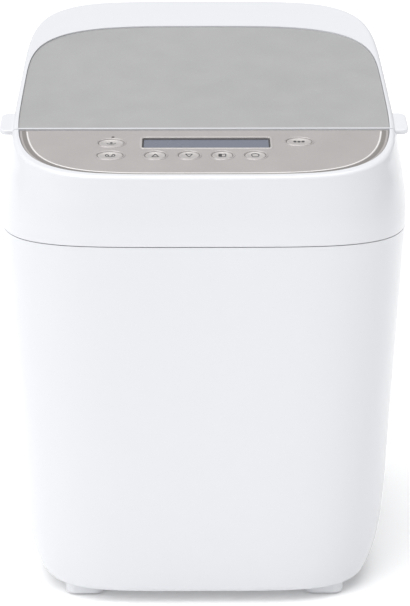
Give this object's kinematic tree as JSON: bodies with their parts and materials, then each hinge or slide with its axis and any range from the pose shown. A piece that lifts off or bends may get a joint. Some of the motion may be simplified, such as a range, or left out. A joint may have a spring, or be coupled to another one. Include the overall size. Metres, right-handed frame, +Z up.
{
  "type": "bread machine",
  "caption": "White bread machine with a sloping grey lid that hinges at the back, a control panel, a heated chamber and a lift-out pan with a kneading blade.",
  "frame": {"origin": "on the table, under the middle of the machine's outline", "axes": "+Z up, +X to the right of someone facing the front, front towards -Y"},
  "size_m": [0.2616, 0.307, 0.3533],
  "materials": {
    "white_plastic": "satin",
    "silver_panel": "satin",
    "champagne_panel": "satin",
    "button_plastic": "satin",
    "clear_lens": "polished",
    "display_glass": "smooth",
    "liner_plastic": "fine texture",
    "bright_metal": "satin",
    "steel": "drawn",
    "heater_sheath": "oxidised",
    "white_ceramic": "fired ceramic",
    "nonstick": "satin coating",
    "cast_alloy": "cast",
    "bronze": "sintered",
    "black_rubber": "matt",
    "silicone": "matt",
    "circuit_board": "solder mask",
    "dark_plastic": "moulded",
    "motor_steel": "plated"
  },
  "bodies": {
    "housing": {"base_plate": "liner_plastic", "board_posts": "liner_plastic", "button_switches": "dark_plastic", "chamber_spacers": "steel", "chamber_trim": "bright_metal", "chassis": "steel", "control_board": "circuit_board", "control_panel": "champagne_panel", "cord_gland": "black_rubber", "display_module": "display_glass", "display_window": "clear_lens", "drive_belt": "black_rubber", "drive_motor": "motor_steel", "foot_front_left": "white_plastic", "foot_front_right": "white_plastic", "foot_pads": "black_rubber", "foot_rear_left": "white_plastic", "foot_rear_right": "white_plastic", "heater_clips": "steel", "heater_element": "heater_sheath", "heater_insulators": "white_ceramic", "hinge_pins": "steel", "housing_screws": "steel", "lower_body": "white_plastic", "motor_capacitor": "motor_steel", "motor_mounts": "black_rubber", "oven_chamber": "bright_metal", "pan_seat": "cast_alloy", "power_board": "circuit_board", "power_components": "dark_plastic", "shaft_bearings": "bronze", "temperature_probe": "steel", "thermal_fuse": "white_ceramic", "upper_cover": "white_plastic"},
    "lid": {"lid_shell": "white_plastic", "lid_panel": "silver_panel", "lid_liner": "liner_plastic", "lid_inner_cover": "bright_metal", "lid_seal": "silicone", "lid_screws": "steel"},
    "drive_train": {"drive_shaft": "steel", "drive_pulley": "dark_plastic", "drive_coupling": "cast_alloy"},
    "motor_rotor": {"motor_shaft": "steel", "motor_pulley": "dark_plastic"},
    "pan": {"bread_pan": "nonstick", "pan_base_ring": "cast_alloy", "pan_bush": "bronze", "pan_shaft_seal": "silicone"},
    "handle": {"pan_handle": "steel"},
    "pan_spindle": {"pan_shaft": "steel", "pan_wing": "cast_alloy"},
    "blade": {"kneading_blade": "nonstick"},
    "timer_button_cap": {"timer_button": "button_plastic"},
    "menu_button_cap": {"menu_button": "button_plastic"},
    "up_button_cap": {"up_button": "button_plastic"},
    "down_button_cap": {"down_button": "button_plastic"},
    "crust_button_cap": {"crust_button": "button_plastic"},
    "size_button_cap": {"size_button": "button_plastic"},
    "start_button_cap": {"start_button": "button_plastic"}
  },
  "joints": [
    {"name": "lid_hinge", "type": "hinge", "parent": "housing", "child": "lid", "pos_m": [0, 0.14145, 0.33452], "axis": [-1, 0, 0], "range_deg": [0, 85]},
    {"name": "pan_lift", "type": "slide", "parent": "housing", "child": "pan", "axis": [0, 0, 1], "range_m": [0, 0.045]},
    {"name": "handle_swing", "type": "hinge", "parent": "pan", "child": "handle", "pos_m": [0, 0.033, 0.234], "axis": [-1, 0, 0], "range_deg": [0, 180]},
    {"name": "drive_turn", "type": "hinge", "parent": "housing", "child": "drive_train", "pos_m": [0, 0.033, 0.05], "axis": [0, 0, 1], "continuous": true},
    {"name": "motor_turn", "type": "hinge", "parent": "housing", "child": "motor_rotor", "pos_m": [0.052, -0.098, 0.05], "axis": [0, 0, 1], "continuous": true},
    {"name": "spindle_turn", "type": "hinge", "parent": "pan", "child": "pan_spindle", "pos_m": [0, 0.033, 0.1], "axis": [0, 0, 1], "continuous": true},
    {"name": "blade_lift", "type": "slide", "parent": "pan_spindle", "child": "blade", "axis": [0, 0, 1], "range_m": [0, 0.04]},
    {"name": "timer_button_press", "type": "slide", "parent": "housing", "child": "timer_button_cap", "axis": [0, 0.225, -0.9744], "range_m": [0, 0.0008], "stiffness_N_per_m": 600, "springref_m": -0.0005},
    {"name": "menu_button_press", "type": "slide", "parent": "housing", "child": "menu_button_cap", "axis": [0, 0.225, -0.9744], "range_m": [0, 0.0008], "stiffness_N_per_m": 600, "springref_m": -0.0005},
    {"name": "up_button_press", "type": "slide", "parent": "housing", "child": "up_button_cap", "axis": [0, 0.225, -0.9744], "range_m": [0, 0.0008], "stiffness_N_per_m": 600, "springref_m": -0.0005},
    {"name": "down_button_press", "type": "slide", "parent": "housing", "child": "down_button_cap", "axis": [0, 0.225, -0.9744], "range_m": [0, 0.0008], "stiffness_N_per_m": 600, "springref_m": -0.0005},
    {"name": "crust_button_press", "type": "slide", "parent": "housing", "child": "crust_button_cap", "axis": [0, 0.225, -0.9744], "range_m": [0, 0.0008], "stiffness_N_per_m": 600, "springref_m": -0.0005},
    {"name": "size_button_press", "type": "slide", "parent": "housing", "child": "size_button_cap", "axis": [0, 0.225, -0.9744], "range_m": [0, 0.0008], "stiffness_N_per_m": 600, "springref_m": -0.0005},
    {"name": "start_button_press", "type": "slide", "parent": "housing", "child": "start_button_cap", "axis": [0, 0.225, -0.9744], "range_m": [0, 0.0008], "stiffness_N_per_m": 600, "springref_m": -0.0005}
  ],
  "couplings": [
    {"joint": "motor_turn", "follows": "drive_turn", "ratio": 5.2727},
    {"joint": "spindle_turn", "follows": "drive_turn", "ratio": 1}
  ]
}
